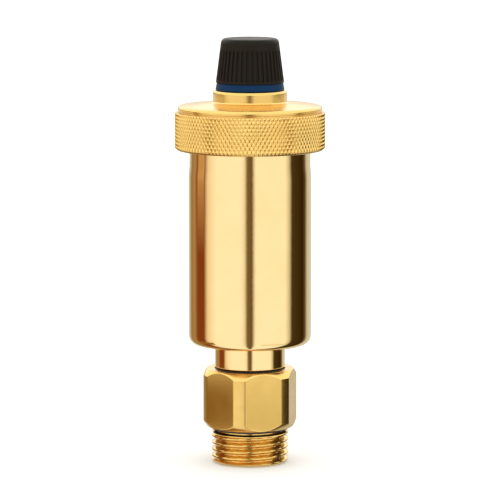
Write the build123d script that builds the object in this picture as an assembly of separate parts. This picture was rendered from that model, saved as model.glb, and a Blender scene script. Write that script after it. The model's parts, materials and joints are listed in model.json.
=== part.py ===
from build123d import *
import os
from math import cos, floor, pi, radians, sin, tan

# Automatic float air vent standing on a self-closing isolating valve, for the high point of a heating circuit.
# All sizes are in millimetres. z = 0 is the seating face above the port thread, +Z runs up the axis, -Y is the front.
#
# From the bottom: a hexagon valve body with a G 1/2 male thread and a spring-loaded plunger; the bottle-shaped vent
# body screwed into it; a knurled cover on the bottle; a nozzle through the cover that carries the lever mechanism
# below and a ribbed dust cap above. A float in the bottle works a lever, which lifts a padded pin to its seat.
#
# Mating threads are drawn as plain fits at the major diameter: grooved on the male side, a plain bore on the other.

# ---------------------------------------------------------------- clearances
THREAD_GAP = 0.10  # radial, between a male thread's crests and the bore around it
SLIDE_GAP = 0.10  # radial, between a guided piece and its guide
SEAL_GAP = 0.10  # around an O-ring that moves against its neighbours
STATIC_GAP = 0.05  # around a piece that is only seated

# ---------------------------------------------------------------- port thread, G 1/2 male
PORT_THREAD_D = 20.955
PORT_THREAD_PITCH = 1.814
PORT_THREAD_DEPTH = 1.10
PORT_LENGTH = 10.0  # from the open end to the seating face
PORT_LEAD = 0.8  # chamfer at the open end
PORT_UNDERCUT = 1.6  # length of thread relief below the seating face
PORT_BORE_D = 14.0

# ---------------------------------------------------------------- isolating valve body
HEX_ACROSS_FLATS = 24.0
HEX_CORNER_REACH = 1.0  # the turned corners stand this far beyond the flats
HEX_HEIGHT = 16.0
HEX_CHAMFER = 1.15  # radial
HEX_CHAMFER_HEIGHT = 1.7
HEX_ANGLE = 17.8  # of one corner, from +X
PORT_RING_SECTION = 1.6
PORT_RING_RECESS = 0.9  # depth of the O-ring's recess in the seating face
LEDGE_THICKNESS = 2.0
LEDGE_OVERLAP = 1.6  # radial, of the plunger's disc under the ledge
HEAD_CHAMBER_HEIGHT = 2.0
SNAP_GROOVE_RISE = 5.4  # above the open end
SNAP_GROOVE_DEPTH = 0.4
SNAP_RING_THICKNESS = 0.9
SNAP_RING_WIDTH = 3.0
SNAP_RING_MOUTH = 2.0
NECK_RING_SECTION = 1.3

# ---------------------------------------------------------------- isolating plunger
PLUNGER_HEAD_GAP = 1.83  # radial, inside the nipple's thread
PLUNGER_HEAD_THICKNESS = 1.2
PLUNGER_STEM_D = 3.2
PLUNGER_LIFT = 1.4  # gap under the ledge while the vent is fitted
PLUNGER_DISC_GAP = 1.0  # radial, inside the port's bore
PLUNGER_DISC_THICKNESS = 1.6
PLUNGER_GASKET_THICKNESS = 1.0
PLUNGER_HUB_D = 6.0
PLUNGER_NOTCH = 2.4
PLUNGER_SPRING_WIRE = 0.5
PLUNGER_SPRING_INSET = 1.9  # radial, from the port's bore to the wire's middle
PLUNGER_SPRING_TURNS = 3.0

# ---------------------------------------------------------------- vent body (bottle)
NIPPLE_THREAD_D = 16.66  # G 3/8 male
NIPPLE_THREAD_PITCH = 1.337
NIPPLE_THREAD_DEPTH = 0.80
NIPPLE_LENGTH = 8.0
NIPPLE_BORE_D = 10.0
NECK_GAP = 0.3  # between the hexagon and the neck
NECK_STEP = 1.27  # radial, from the nipple's thread out to the neck
NECK_HEIGHT = 6.4
BODY_D = 33.5
BODY_HEIGHT = 63.0  # from the shoulder to the rim
BODY_WALL = 2.1
BODY_CORNER = 3.1  # radius at the foot of the bottle
BODY_FLOOR = 2.8
LAND_STEP = 0.25  # radial, from the bottle in to the land and thread under the cover, M33 x 1.5
LAND_LENGTH = 14.0
LAND_TAPER = 3.0  # height over which the bottle narrows to the land
COVER_THREAD_PITCH = 1.5
COVER_THREAD_DEPTH = 0.75
COVER_THREAD_LENGTH = 8.0

# ---------------------------------------------------------------- cover
COVER_GAP = 0.3  # between the bottle's rim and the cover's ceiling
RING_WALL = 4.0  # from the thread out to the knurl's crests
RING_HEIGHT = 10.3
RING_CHAMFER = 0.7
RING_ABOVE_CEILING = 0.4
RIM_STEP = 0.8  # radial, from the knurl in to the rim
RIM_HEIGHT = 1.7
RIM_EDGE = 0.4
CONE_RISE = 1.1
COLLAR_LEDGE = 0.7  # radial, beyond the ring under the cap
COLLAR_HEIGHT = 3.1
COLLAR_EDGE = 0.5
SPIGOT_LENGTH = 4.3
SPIGOT_WALL = 2.6
SPIGOT_GAP = 0.15
COVER_RING_SECTION = 1.2
COVER_RING_GROOVE = 1.6  # width of the groove

# ---------------------------------------------------------------- nozzle
NOZZLE_SHOULDER = 1.05  # radial, from the cap's stem out to the shank
NOZZLE_GASKET_THICKNESS = 0.6
NOZZLE_GASKET_WIDTH = 1.75  # radial, beyond the shank
BRACKET_SHEET = 0.8
NOZZLE_FLANGE_EDGE = 0.55  # the hexagon's flats stand this far beyond the shank
NOZZLE_FLANGE_THICKNESS = 1.6
SKIRT_BORE_D = 6.2
SKIRT_WALL = 1.1
SKIRT_LENGTH = 7.3
SKIRT_SLOT = 1.6
LIP_D = 3.2
LIP_HEIGHT = 0.5
SEAT_DEPTH = 2.0  # from the flange's underside down to the lip
ORIFICE_D = 1.8
NOZZLE_BORE_D = 3.6
STEM_THREAD_D = 9.8
STEM_THREAD_PITCH = 1.0
STEM_THREAD_DEPTH = 0.5
STEM_HEIGHT = 8.6  # above the dust cap's lower edge
STEM_SLOT = 1.2  # lengthwise slot that lets the air out under the cap

# ---------------------------------------------------------------- lever mechanism
LEVER_SWING = 13.0  # degrees each side of level
ARM_PIN = 4.5  # pivot to valve pin
ARM_FLOAT = 13.5  # pivot to float link
LEVER_THICKNESS = 0.8
LEVER_WIDTH = 6.8
LEVER_END = 2.7  # lever beyond the float link
BARREL_D = 3.4
PIVOT_D = 2.0
EAR_GAP = 0.4  # between the barrel's end and the ear
EAR_WIDTH = 4.8
EAR_BELOW_PIVOT = 2.2
BRACKET_LENGTH = 16.0
CLIP_THICKNESS = 0.5
CLIP_D = 4.4
CLIP_GROOVE = 0.3

PIN_HEAD_HEIGHT = 2.0
PIN_STEM_D = 3.0
PIN_STEM_LENGTH = 8.4
PIN_FLANGE_INSET = 0.1  # radial, of the spring's seat inside the guide's outside
PIN_FLANGE_THICKNESS = 0.7
PIN_FLANGE_RISE = 1.3  # above the upper collar
PIN_COLLAR_D = 4.8
PIN_COLLAR_THICKNESS = 0.8
PIN_NECK_D = 2.2
PIN_NECK_LENGTH = 2.3
PIN_SLOT_GAP = 0.2
SEAT_CLEARANCE = 0.03  # left between pad and lip with the float fully up
PAD_INSET = 0.9  # radial, from the guide's bore
PAD_THICKNESS = 1.2
PAD_PROUD = 0.5
PIN_SPRING_WIRE = 0.30
PIN_SPRING_TURNS = 4.0

LINK_STEM_D = 1.2
LINK_COLLAR_D = 2.8
LINK_COLLAR_THICKNESS = 0.8
LINK_GAP = 2.0  # between the two collars that take the lever
LINK_ROOT_D = 2.4
LINK_ROOT_DEPTH = 2.0  # pressed into the float lid's boss

# ---------------------------------------------------------------- float
FLOAT_GAP = 1.45  # radial, inside the bottle's bore
FLOAT_WALL = 1.3
FLOAT_FLOOR_GAP = 5.0
FLOAT_TOP_GAP = 1.5  # below the lever's barrel with the float fully up
FLOAT_NOSE = 3.0
FLOAT_NOSE_TAPER = 4.2  # radial
FLOAT_RIBS = 4
FLOAT_RIB_HEIGHT = 1.0
FLOAT_RIB_WIDTH = 1.6
LID_THICKNESS = 1.6
LID_SPIGOT = 3.0
BOSS_D = 4.8
BOSS_HEIGHT = 2.5

# ---------------------------------------------------------------- dust cap
CAP_RING_HEIGHT = 1.95
CAP_RING_PROUD = 0.1  # radial, beyond the cap
CAP_RING_TAPER = 0.35  # radial
CAP_RING_GAP = 0.10  # under the ring and between ring and cap
CAP_RING_SPIGOT = 1.3
CAP_RING_SPIGOT_INSET = 1.5  # radial, from the cap's outside
CAP_RING_SPIGOT_WALL = 0.8
CAP_D = 18.6
CAP_TAPER = 1.4  # radial, from the foot to the crown's edge
CAP_HEIGHT = 12.0
CAP_EDGE = 1.0
CAP_RIBS = 40
CAP_RIB_DEPTH = 0.45
CAP_PLAIN_TOP = 3.0  # unribbed height below the top
CAP_FLARE = 0.6  # height of the plain lip at the lower edge
CAP_STEM_GAP = 0.15
CAP_PAD_THICKNESS = 0.55
CAP_PAD_GAP = 0.2  # above the nozzle's stem with the cap closed

# ---------------------------------------------------------------- diameters worked out from the sizes above
HEX_TURNED_D = HEX_ACROSS_FLATS + 2 * HEX_CORNER_REACH
PLUNGER_HEAD_D = NIPPLE_THREAD_D - 2 * PLUNGER_HEAD_GAP
PLUNGER_DISC_D = PORT_BORE_D - 2 * PLUNGER_DISC_GAP
PLUNGER_SPRING_D = PORT_BORE_D - 2 * PLUNGER_SPRING_INSET  # mean diameter
LEDGE_HOLE_D = PLUNGER_DISC_D - 2 * LEDGE_OVERLAP
NECK_D = NIPPLE_THREAD_D + 2 * NECK_STEP
BORE_R = BODY_D / 2 - BODY_WALL
LAND_D = BODY_D - 2 * LAND_STEP
RING_D = LAND_D + 2 * RING_WALL
RIM_D = RING_D - 2 * RIM_STEP
FLOAT_D = 2 * (BORE_R - FLOAT_GAP)
FLOAT_NOSE_D = FLOAT_D - 2 * FLOAT_NOSE_TAPER
NOZZLE_SHANK_D = STEM_THREAD_D + 2 * NOZZLE_SHOULDER
NOZZLE_GASKET_D = NOZZLE_SHANK_D + 2 * NOZZLE_GASKET_WIDTH
NOZZLE_FLANGE_FLATS = NOZZLE_SHANK_D + 2 * NOZZLE_FLANGE_EDGE
BARREL_LENGTH = NOZZLE_FLANGE_FLATS  # so the bracket's ears pass outside the hexagon
SKIRT_D = SKIRT_BORE_D + 2 * SKIRT_WALL
PIN_FLANGE_D = SKIRT_D - 2 * PIN_FLANGE_INSET
PIN_SPRING_D = SKIRT_BORE_D + SKIRT_WALL  # mean diameter, under the middle of the guide's wall
PAD_D = SKIRT_BORE_D - 2 * PAD_INSET
CAP_TOP_D = CAP_D - 2 * CAP_TAPER
CAP_RING_D = CAP_D + 2 * CAP_RING_PROUD
CAP_RING_TOP_D = CAP_RING_D - 2 * CAP_RING_TAPER
CAP_RING_SPIGOT_D = CAP_D - 2 * CAP_RING_SPIGOT_INSET
COLLAR_D = CAP_RING_D + 2 * COLLAR_LEDGE

# ---------------------------------------------------------------- levels worked out from the sizes above
Z_PORT_END = -PORT_LENGTH
Z_SEAT = 0.0
Z_HEX_TOP = Z_SEAT + HEX_HEIGHT
Z_NECK = Z_HEX_TOP + NECK_GAP
Z_NIPPLE_LOW = Z_HEX_TOP - NIPPLE_LENGTH
Z_SHOULDER = Z_NECK + NECK_HEIGHT
Z_FLOOR = Z_SHOULDER + BODY_FLOOR
Z_BODY_TOP = Z_SHOULDER + BODY_HEIGHT
Z_CEILING = Z_BODY_TOP + COVER_GAP
Z_COVER_RING = Z_CEILING - SPIGOT_LENGTH / 2 + 0.1
Z_RING_TOP = Z_CEILING + RING_ABOVE_CEILING
Z_RING_LOW = Z_RING_TOP - RING_HEIGHT
Z_RIM = Z_RING_TOP + RIM_HEIGHT
Z_COLLAR_LOW = Z_RIM + CONE_RISE
Z_COLLAR_TOP = Z_COLLAR_LOW + COLLAR_HEIGHT
Z_CAP_RING = Z_COLLAR_TOP + CAP_RING_GAP
Z_CAP = Z_CAP_RING + CAP_RING_HEIGHT + CAP_RING_GAP
Z_CAP_TOP = Z_CAP + CAP_HEIGHT
Z_STEM_TOP = Z_CAP + STEM_HEIGHT

# isolating plunger, pushed down by the nipple's end
Z_HEAD_LOW = Z_NIPPLE_LOW - PLUNGER_HEAD_THICKNESS
Z_LEDGE_TOP = Z_NIPPLE_LOW - HEAD_CHAMBER_HEIGHT
Z_LEDGE_LOW = Z_LEDGE_TOP - LEDGE_THICKNESS
Z_GASKET_TOP = Z_LEDGE_LOW - PLUNGER_LIFT
Z_DISC_TOP = Z_GASKET_TOP - PLUNGER_GASKET_THICKNESS
Z_DISC_LOW = Z_DISC_TOP - PLUNGER_DISC_THICKNESS
Z_SNAP_GROOVE = Z_PORT_END + SNAP_GROOVE_RISE
Z_SNAP_TOP = Z_SNAP_GROOVE + SNAP_RING_THICKNESS

# nozzle and mechanism, hung below the ceiling
Z_GASKET_LOW = Z_CEILING - NOZZLE_GASKET_THICKNESS
Z_BRACKET_LOW = Z_GASKET_LOW - BRACKET_SHEET
Z_FLANGE_LOW = Z_BRACKET_LOW - NOZZLE_FLANGE_THICKNESS
Z_SKIRT_END = Z_FLANGE_LOW - SKIRT_LENGTH
Z_LIP = Z_FLANGE_LOW - SEAT_DEPTH
SWING_SLOPE = tan(radians(LEVER_SWING))
PIN_TRAVEL = 2 * ARM_PIN * SWING_SLOPE
FLOAT_TRAVEL = 2 * ARM_FLOAT * SWING_SLOPE
Z_PAD_TOP = Z_LIP - PIN_TRAVEL - SEAT_CLEARANCE
Z_HEAD_TOP = Z_PAD_TOP - PAD_PROUD
Z_PIN_STEM_TOP = Z_HEAD_TOP - PIN_HEAD_HEIGHT
Z_PIN_COLLAR = Z_PIN_STEM_TOP - PIN_STEM_LENGTH
Z_PIN_FLANGE = Z_PIN_COLLAR + PIN_FLANGE_RISE
Z_PIN_NECK_TOP = Z_PIN_COLLAR - PIN_COLLAR_THICKNESS
Z_PIN_NECK_LOW = Z_PIN_NECK_TOP - PIN_NECK_LENGTH
Z_PIVOT = (Z_PIN_NECK_TOP + Z_PIN_NECK_LOW) / 2 + ARM_PIN * SWING_SLOPE
X_PIVOT = -ARM_PIN
X_LINK = X_PIVOT + ARM_FLOAT
Z_LINK = Z_PIVOT - ARM_FLOAT * SWING_SLOPE
Z_LID_TOP = Z_PIVOT - BARREL_D / 2 - FLOAT_TOP_GAP - FLOAT_TRAVEL
Z_LID_LOW = Z_LID_TOP - LID_THICKNESS
Z_FLOAT_LOW = Z_FLOOR + FLOAT_FLOOR_GAP


# ---------------------------------------------------------------- shape helpers
def turned(points):
    """A solid of revolution about Z from a closed outline of (radius, z) points."""
    return revolve(Plane.XZ * make_face(Polyline(*points, close=True)), Axis.Z)


def tube(outer_d, inner_d, z_low, z_high):
    """A plain ring about Z."""
    outer, inner = outer_d / 2, inner_d / 2
    return turned([(inner, z_low), (outer, z_low), (outer, z_high), (inner, z_high)])


def rod(diameter, z_low, z_high):
    """A plain cylinder about Z."""
    return Pos(0, 0, z_low) * Cylinder(
        diameter / 2, z_high - z_low, align=(Align.CENTER, Align.CENTER, Align.MIN)
    )


def thread_outline(diameter, depth, pitch, z_low, z_high):
    """(radius, z) points up a grooved shank: flat crests, V grooves with a flat root, one groove to a pitch."""
    crest, root = diameter / 2, diameter / 2 - depth
    crest_flat, root_flat = 0.22 * pitch, 0.12 * pitch
    flank = (pitch - crest_flat - root_flat) / 2
    grooves = floor((z_high - z_low - crest_flat) / pitch)
    points = [(crest, z_low)]
    for n in range(grooves):
        start = z_low + crest_flat + n * pitch
        points += [
            (crest, start),
            (root, start + flank),
            (root, start + flank + root_flat),
            (crest, start + 2 * flank + root_flat),
        ]
    points.append((crest, z_high))
    return points


def o_ring(mean_radius, section, z):
    """A round-section ring about Z."""
    return Pos(0, 0, z) * Torus(mean_radius, section / 2)


def coil(mean_d, wire, turns, z_low, z_high):
    """A closed-form compression spring between two levels."""
    height = z_high - z_low - wire
    path = Helix(height / turns, height, mean_d / 2)
    section = Plane(origin=path @ 0, z_dir=path % 0) * Circle(wire / 2)
    return Pos(0, 0, z_low + wire / 2) * sweep(section, path=path, is_frenet=True)


def across(width, length, z_low, z_high):
    """Two crossed bars through the axis, at 45 degrees to X and Y, to be cut away as four slots."""
    bar = Pos(0, 0, z_low) * Box(
        length, width, z_high - z_low, align=(Align.CENTER, Align.CENTER, Align.MIN)
    )
    return Rot(0, 0, 45) * bar + Rot(0, 0, 135) * bar


# ---------------------------------------------------------------- isolating valve
def isolating_valve_body():
    """Hexagon with a male thread below, a plunger ledge inside and the vent's female thread above."""
    thread = thread_outline(
        PORT_THREAD_D,
        PORT_THREAD_DEPTH,
        PORT_THREAD_PITCH,
        Z_PORT_END + PORT_LEAD,
        Z_SEAT - PORT_UNDERCUT,
    )
    root = PORT_THREAD_D / 2 - PORT_THREAD_DEPTH
    shank = turned(
        [(0, Z_PORT_END), (PORT_THREAD_D / 2 - PORT_LEAD, Z_PORT_END)]
        + thread
        + [
            (root, Z_SEAT - PORT_UNDERCUT + PORT_UNDERCUT / 4),
            (root, Z_SEAT + PORT_RING_RECESS),
            (0, Z_SEAT + PORT_RING_RECESS),
        ]
    )
    turned_r = HEX_TURNED_D / 2
    envelope = turned(
        [
            (0, Z_SEAT),
            (turned_r - HEX_CHAMFER, Z_SEAT),
            (turned_r, Z_SEAT + HEX_CHAMFER_HEIGHT),
            (turned_r, Z_HEX_TOP - HEX_CHAMFER_HEIGHT),
            (turned_r - HEX_CHAMFER, Z_HEX_TOP),
            (0, Z_HEX_TOP),
        ]
    )
    outline = RegularPolygon(
        HEX_ACROSS_FLATS / 2, 6, major_radius=False, rotation=HEX_ANGLE
    )
    hexagon = (Pos(0, 0, Z_SEAT) * extrude(outline, HEX_HEIGHT)) & envelope
    ring_recess = tube(
        2 * port_ring_recess_r(), 2 * root, Z_SEAT - 1, Z_SEAT + PORT_RING_RECESS
    )
    female_r = NIPPLE_THREAD_D / 2 + THREAD_GAP
    bore_r = PORT_BORE_D / 2
    neck_seat_r = neck_ring_r() + NECK_RING_SECTION / 2 + STATIC_GAP
    neck_seat_z = Z_HEX_TOP - NECK_RING_SECTION + NECK_GAP / 3
    inside = turned(
        [
            (0, Z_PORT_END - 1),
            (bore_r + 0.6, Z_PORT_END - 1),
            (bore_r + 0.6, Z_PORT_END),
            (bore_r, Z_PORT_END + 0.6),
            (bore_r, Z_SNAP_GROOVE),
            (bore_r + SNAP_GROOVE_DEPTH, Z_SNAP_GROOVE),
            (bore_r + SNAP_GROOVE_DEPTH, Z_SNAP_TOP + STATIC_GAP),
            (bore_r, Z_SNAP_TOP + STATIC_GAP),
            (bore_r, Z_LEDGE_LOW),
            (LEDGE_HOLE_D / 2, Z_LEDGE_LOW),
            (LEDGE_HOLE_D / 2, Z_LEDGE_TOP),
            (female_r, Z_LEDGE_TOP),
            (female_r, neck_seat_z),
            (neck_seat_r, neck_seat_z),
            (neck_seat_r, Z_HEX_TOP + 1),
            (0, Z_HEX_TOP + 1),
        ]
    )
    return (shank + (hexagon - ring_recess)) - inside


def port_ring_recess_r():
    return PORT_THREAD_D / 2 - PORT_THREAD_DEPTH + PORT_RING_SECTION + 3 * STATIC_GAP


def port_o_ring():
    mean_r = PORT_THREAD_D / 2 - PORT_THREAD_DEPTH + STATIC_GAP + PORT_RING_SECTION / 2
    z = Z_SEAT + PORT_RING_RECESS - STATIC_GAP - PORT_RING_SECTION / 2
    return o_ring(mean_r, PORT_RING_SECTION, z)


def neck_ring_r():
    return NIPPLE_THREAD_D / 2 + STATIC_GAP + NECK_RING_SECTION / 2


def neck_o_ring():
    z = Z_HEX_TOP + NECK_GAP / 2 - NECK_RING_SECTION / 2
    return o_ring(neck_ring_r(), NECK_RING_SECTION, z)


def snap_ring():
    """Open ring in the port's groove that holds up the plunger's spring."""
    outer = PORT_BORE_D / 2 + SNAP_GROOVE_DEPTH - STATIC_GAP
    inner = outer - SNAP_RING_WIDTH
    ring = tube(2 * outer, 2 * inner, Z_SNAP_GROOVE + STATIC_GAP / 2, Z_SNAP_TOP)
    gap = Pos(outer, 0, Z_SNAP_TOP) * Box(3 * SNAP_RING_WIDTH, SNAP_RING_MOUTH, 4.0)
    return ring - gap


def plunger():
    """Castellated head that the vent's nipple pushes down, with a stem through the ledge to the disc."""
    head_r, stem_r = PLUNGER_HEAD_D / 2, PLUNGER_STEM_D / 2
    blank = turned(
        [
            (0, Z_DISC_LOW),
            (stem_r, Z_DISC_LOW),
            (stem_r, Z_HEAD_LOW),
            (head_r, Z_HEAD_LOW),
            (head_r, Z_NIPPLE_LOW),
            (0, Z_NIPPLE_LOW),
        ]
    )
    notch = Pos(head_r, 0, Z_NIPPLE_LOW) * Box(
        2 * (head_r - stem_r - 0.8), PLUNGER_NOTCH, 3 * PLUNGER_HEAD_THICKNESS
    )
    for n in range(4):
        blank -= Rot(0, 0, 45 + 90 * n) * notch
    return blank


def plunger_disc():
    """Disc clipped to the stem's end, with a hub that centres the gasket."""
    disc_r, hub_r = PLUNGER_DISC_D / 2, PLUNGER_HUB_D / 2
    bore_r = PLUNGER_STEM_D / 2 + STATIC_GAP
    return turned(
        [
            (bore_r, Z_DISC_LOW),
            (disc_r, Z_DISC_LOW),
            (disc_r, Z_DISC_TOP),
            (hub_r, Z_DISC_TOP),
            (hub_r, Z_GASKET_TOP),
            (bore_r, Z_GASKET_TOP),
        ]
    )


def plunger_gasket():
    return tube(
        PLUNGER_DISC_D - 0.4,
        PLUNGER_HUB_D + 2 * STATIC_GAP,
        Z_DISC_TOP + STATIC_GAP / 2,
        Z_GASKET_TOP,
    )


def plunger_spring():
    return coil(
        PLUNGER_SPRING_D,
        PLUNGER_SPRING_WIRE,
        PLUNGER_SPRING_TURNS,
        Z_SNAP_TOP + STATIC_GAP,
        Z_DISC_LOW - STATIC_GAP,
    )


# ---------------------------------------------------------------- vent body and cover
def vent_body():
    """Bottle with a male nipple below and the cover's thread round its rim."""
    nipple = thread_outline(
        NIPPLE_THREAD_D,
        NIPPLE_THREAD_DEPTH,
        NIPPLE_THREAD_PITCH,
        Z_NIPPLE_LOW + 0.5,
        Z_HEX_TOP - NECK_RING_SECTION - 0.3,
    )
    rim = thread_outline(
        LAND_D,
        COVER_THREAD_DEPTH,
        COVER_THREAD_PITCH,
        Z_BODY_TOP - COVER_THREAD_LENGTH,
        Z_BODY_TOP - 0.4,
    )
    body_r, land_r = BODY_D / 2, LAND_D / 2
    land_z = Z_BODY_TOP - LAND_LENGTH
    nipple_bore_r = NIPPLE_BORE_D / 2
    with BuildSketch(Plane.XZ) as outline:
        with BuildLine():
            Polyline(
                (nipple_bore_r, Z_NIPPLE_LOW),
                (NIPPLE_THREAD_D / 2 - 0.5, Z_NIPPLE_LOW),
                *nipple,
                (NIPPLE_THREAD_D / 2, Z_NECK),
                (NECK_D / 2 - 0.3, Z_NECK),
                (NECK_D / 2, Z_NECK + 0.3),
                (NECK_D / 2, Z_SHOULDER),
                (body_r - BODY_CORNER, Z_SHOULDER),
            )
            ThreePointArc(
                (body_r - BODY_CORNER, Z_SHOULDER),
                (
                    body_r - BODY_CORNER * (1 - cos(pi / 4)),
                    Z_SHOULDER + BODY_CORNER * (1 - sin(pi / 4)),
                ),
                (body_r, Z_SHOULDER + BODY_CORNER),
            )
            Polyline(
                (body_r, Z_SHOULDER + BODY_CORNER),
                (body_r, land_z - LAND_TAPER),
                (land_r, land_z),
                *rim,
                (land_r - 0.4, Z_BODY_TOP),
                (BORE_R + 0.3, Z_BODY_TOP),
                (BORE_R, Z_BODY_TOP - 0.5),
                (BORE_R, Z_FLOOR + 1.5),
                (BORE_R - 1.5, Z_FLOOR),
                (nipple_bore_r, Z_FLOOR),
                (nipple_bore_r, Z_NIPPLE_LOW),
            )
        make_face()
    return revolve(outline.sketch, Axis.Z)


def cover_ring_mean_r():
    return BORE_R - SEAL_GAP - COVER_RING_SECTION / 2


def cover_o_ring():
    """Seal between the cover's spigot and the bottle's bore."""
    return o_ring(cover_ring_mean_r(), COVER_RING_SECTION, Z_COVER_RING)


def cover():
    """Knurled ring, coned top plate, collar and inner spigot in one turned piece."""
    ring_r, rim_r, collar_r = RING_D / 2, RIM_D / 2, COLLAR_D / 2
    thread_bore_r = LAND_D / 2 + THREAD_GAP
    spigot_r = BORE_R - SPIGOT_GAP
    groove_r = cover_ring_mean_r() - COVER_RING_SECTION / 2 - SEAL_GAP
    groove_low = Z_COVER_RING - COVER_RING_GROOVE / 2
    groove_high = Z_COVER_RING + COVER_RING_GROOVE / 2
    spigot_low = Z_CEILING - SPIGOT_LENGTH
    nozzle_bore_r = NOZZLE_SHANK_D / 2 + STATIC_GAP
    return turned(
        [
            (thread_bore_r + 0.4, Z_RING_LOW),
            (ring_r - RING_CHAMFER, Z_RING_LOW),
            (ring_r, Z_RING_LOW + RING_CHAMFER),
            (ring_r, Z_RING_TOP - RING_CHAMFER / 2),
            (ring_r - RING_CHAMFER / 2, Z_RING_TOP),
            (rim_r, Z_RING_TOP),
            (rim_r, Z_RIM - RIM_EDGE),
            (rim_r - RIM_EDGE, Z_RIM),
            (collar_r, Z_COLLAR_LOW),
            (collar_r, Z_COLLAR_TOP - COLLAR_EDGE),
            (collar_r - COLLAR_EDGE, Z_COLLAR_TOP),
            (nozzle_bore_r, Z_COLLAR_TOP),
            (nozzle_bore_r, Z_CEILING),
            (spigot_r - SPIGOT_WALL, Z_CEILING),
            (spigot_r - SPIGOT_WALL, spigot_low),
            (spigot_r - 0.3, spigot_low),
            (spigot_r, spigot_low + 0.3),
            (spigot_r, groove_low),
            (groove_r, groove_low),
            (groove_r, groove_high),
            (spigot_r, groove_high),
            (spigot_r, Z_CEILING),
            (thread_bore_r, Z_CEILING),
            (thread_bore_r, Z_RING_LOW + 0.4),
        ]
    )


# ---------------------------------------------------------------- nozzle and lever mechanism
def nozzle_gasket():
    return tube(
        NOZZLE_GASKET_D,
        NOZZLE_SHANK_D + 4 * STATIC_GAP,
        Z_GASKET_LOW + STATIC_GAP / 2,
        Z_CEILING - STATIC_GAP / 2,
    )


def vent_nozzle():
    """Threaded insert: cap stem above, clamping hexagon, and a slotted guide with the air seat below."""
    stem = thread_outline(
        STEM_THREAD_D,
        STEM_THREAD_DEPTH,
        STEM_THREAD_PITCH,
        Z_CAP + 0.4,
        Z_STEM_TOP - 0.4,
    )
    shank_r, skirt_r = NOZZLE_SHANK_D / 2, SKIRT_D / 2
    orifice_top = Z_CEILING
    blank = turned(
        [
            (SKIRT_BORE_D / 2, Z_SKIRT_END),
            (skirt_r, Z_SKIRT_END),
            (skirt_r, Z_BRACKET_LOW),
            (shank_r, Z_BRACKET_LOW),
            (shank_r, Z_COLLAR_TOP),
            (STEM_THREAD_D / 2, Z_COLLAR_TOP),
        ]
        + stem
        + [
            (STEM_THREAD_D / 2 - 0.4, Z_STEM_TOP),
            (NOZZLE_BORE_D / 2, Z_STEM_TOP),
            (NOZZLE_BORE_D / 2, orifice_top),
            (ORIFICE_D / 2, orifice_top - NOZZLE_BORE_D / 4),
            (ORIFICE_D / 2, Z_LIP),
            (LIP_D / 2, Z_LIP),
            (LIP_D / 2, Z_LIP + LIP_HEIGHT),
            (SKIRT_BORE_D / 2, Z_LIP + LIP_HEIGHT),
        ]
    )
    hexagon = RegularPolygon(NOZZLE_FLANGE_FLATS / 2, 6, major_radius=False)
    flange = Pos(0, 0, Z_FLANGE_LOW) * extrude(hexagon, NOZZLE_FLANGE_THICKNESS)
    blank += flange - rod(SKIRT_D - 1, Z_FLANGE_LOW - 1, Z_BRACKET_LOW + 1)
    # air gets to the seat through slots in the guide that stop short of its end
    blank -= across(SKIRT_SLOT, 2 * SKIRT_D, Z_SKIRT_END + 1.5, Z_LIP)
    slot = Pos(0, STEM_THREAD_D / 2, Z_CAP) * Box(
        STEM_SLOT, 1.8, STEM_HEIGHT + 1, align=(Align.CENTER, Align.CENTER, Align.MIN)
    )
    return blank - slot


def ear_inner_y():
    return BARREL_LENGTH / 2 + EAR_GAP


def lever_bracket():
    """Sheet frame clamped under the cover by the nozzle, with two ears for the lever's pivot."""
    ear_y = ear_inner_y()
    width = 2 * (ear_y + BRACKET_SHEET)
    plate = Pos(0, 0, Z_BRACKET_LOW) * Box(
        BRACKET_LENGTH,
        width,
        BRACKET_SHEET,
        align=(Align.CENTER, Align.CENTER, Align.MIN),
    )
    plate -= rod(
        NOZZLE_SHANK_D + 4 * STATIC_GAP, Z_BRACKET_LOW - 1, Z_BRACKET_LOW + 2
    )
    ear_low = Z_PIVOT - EAR_BELOW_PIVOT
    frame = plate
    for side in (-1, 1):
        ear = Pos(X_PIVOT, side * (ear_y + BRACKET_SHEET / 2), ear_low) * Box(
            EAR_WIDTH,
            BRACKET_SHEET,
            Z_BRACKET_LOW - ear_low,
            align=(Align.CENTER, Align.CENTER, Align.MIN),
        )
        frame += ear
    hole = cross_pin(PIVOT_D + 2 * STATIC_GAP, 2 * width)
    return frame - hole


def cross_pin(diameter, length):
    """A cylinder along Y through the lever's pivot."""
    return Pos(X_PIVOT, 0, Z_PIVOT) * Rot(90, 0, 0) * Cylinder(diameter / 2, length)


def clip_y():
    """Where the inner face of each clip lies, just outside its ear."""
    return ear_inner_y() + BRACKET_SHEET + STATIC_GAP


def pivot_pin():
    half = clip_y() + CLIP_THICKNESS + 0.5
    pin = cross_pin(PIVOT_D, 2 * half)
    groove = (
        cross_pin(PIVOT_D + 2, CLIP_THICKNESS + 2 * STATIC_GAP)
        - cross_pin(PIVOT_D - 2 * CLIP_GROOVE, 2 * half)
    )
    for side in (-1, 1):
        pin -= Pos(0, side * (clip_y() + CLIP_THICKNESS / 2), 0) * groove
    return pin


def pivot_clips():
    """Two open clips that keep the pivot pin in the ears."""
    ring = cross_pin(CLIP_D, CLIP_THICKNESS) - cross_pin(
        PIVOT_D - 2 * CLIP_GROOVE + 2 * STATIC_GAP, CLIP_THICKNESS + 1
    )
    mouth = Pos(X_PIVOT, 0, Z_PIVOT + CLIP_D / 2) * Box(
        PIVOT_D - 2 * CLIP_GROOVE, CLIP_THICKNESS + 1, CLIP_D
    )
    clip = ring - mouth
    offset = clip_y() + CLIP_THICKNESS / 2
    return [Pos(0, side * offset, 0) * clip for side in (-1, 1)]


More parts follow.
